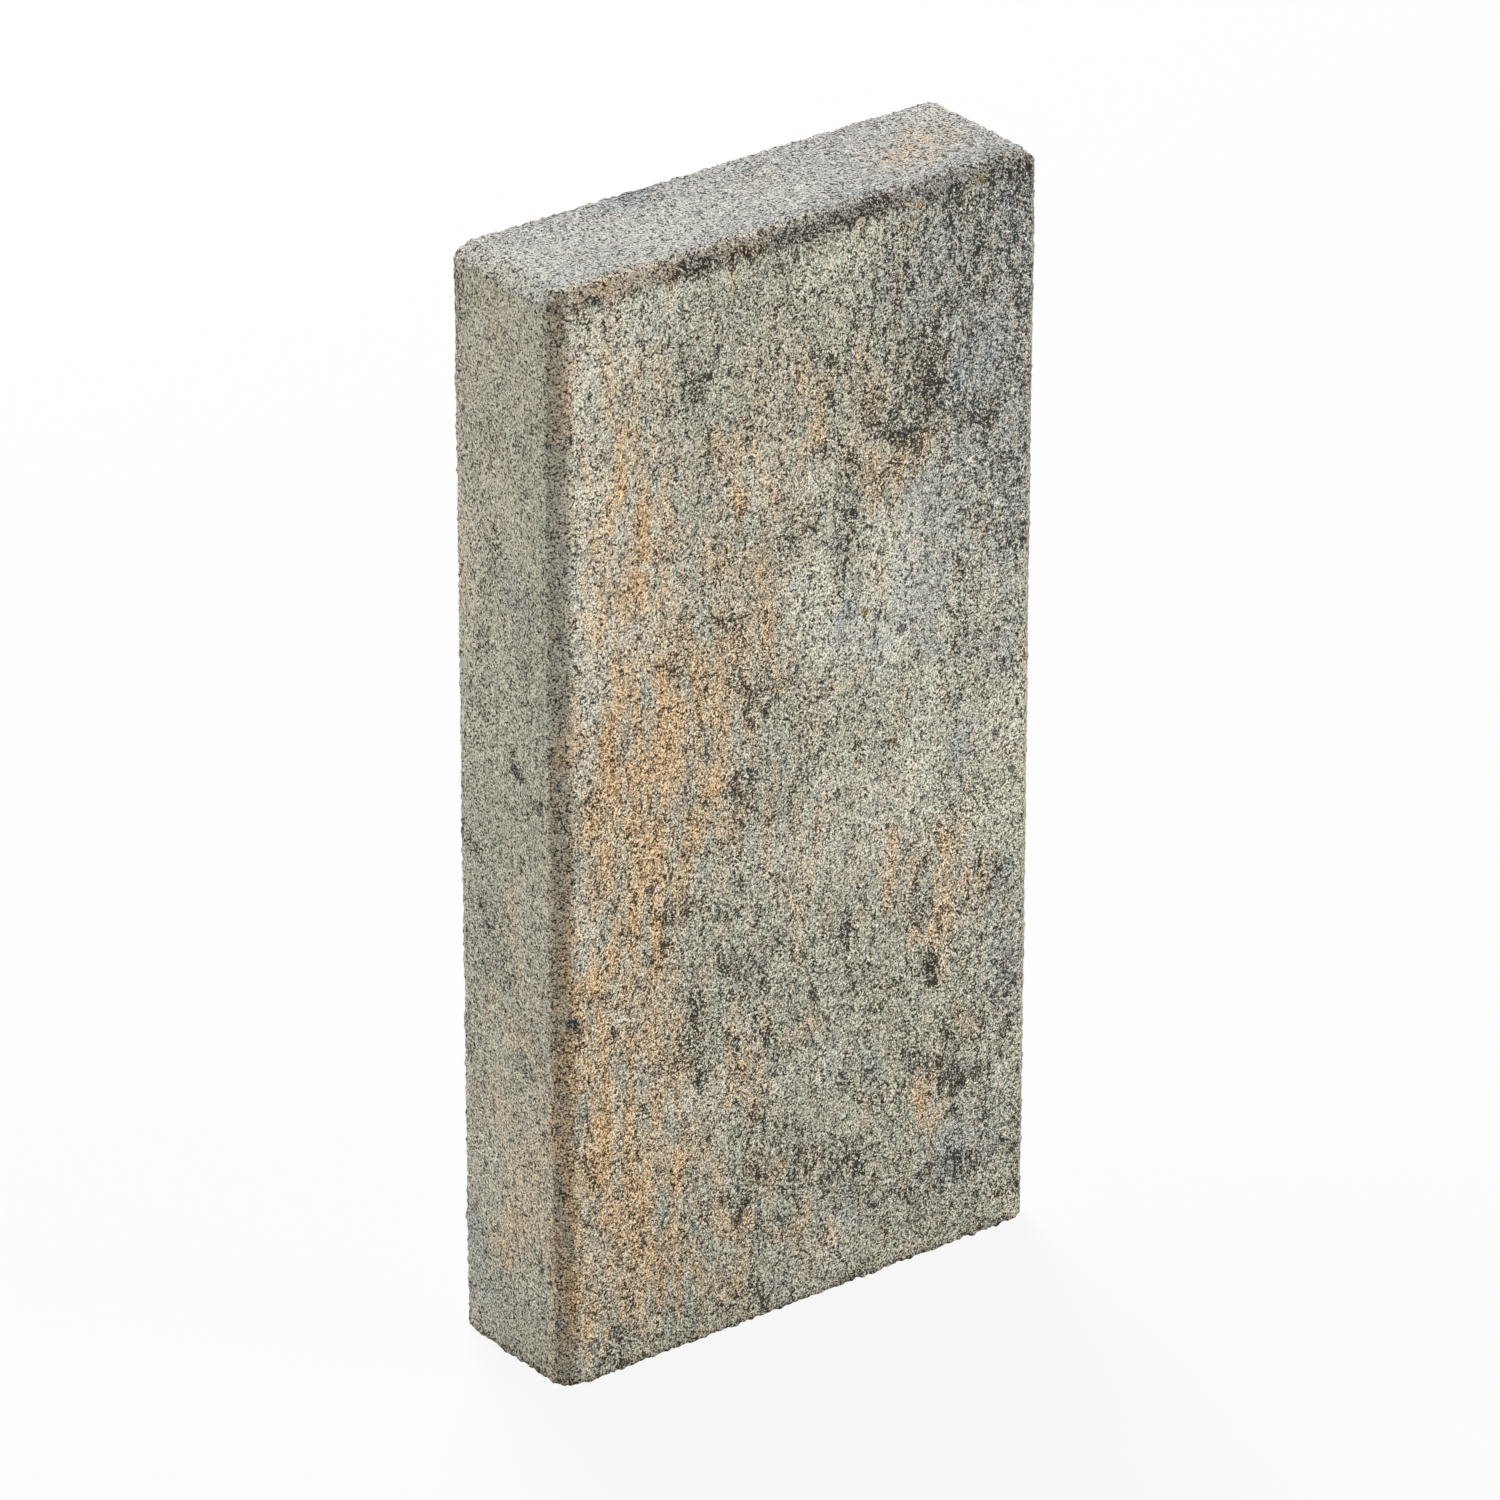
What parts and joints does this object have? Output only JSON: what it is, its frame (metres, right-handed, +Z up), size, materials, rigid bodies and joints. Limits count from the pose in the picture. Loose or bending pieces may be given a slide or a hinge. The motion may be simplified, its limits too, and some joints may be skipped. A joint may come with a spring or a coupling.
{
  "type": "concrete palisade",
  "caption": "Upright cast concrete slab of rectangular section with bevelled corners and top, set side by side as edging or a low retaining wall.",
  "frame": {"origin": "under the middle of the foot, on the surface it stands on", "axes": "+Z up along the height, -Y out of the front broad face, X along the width"},
  "size_m": [0.4, 0.12, 0.8],
  "materials": {
    "concrete": "rough, unpolished, shaded grey, tan and anthracite"
  },
  "bodies": {
    "root": {"palisade": "concrete"}
  },
  "joints": []
}
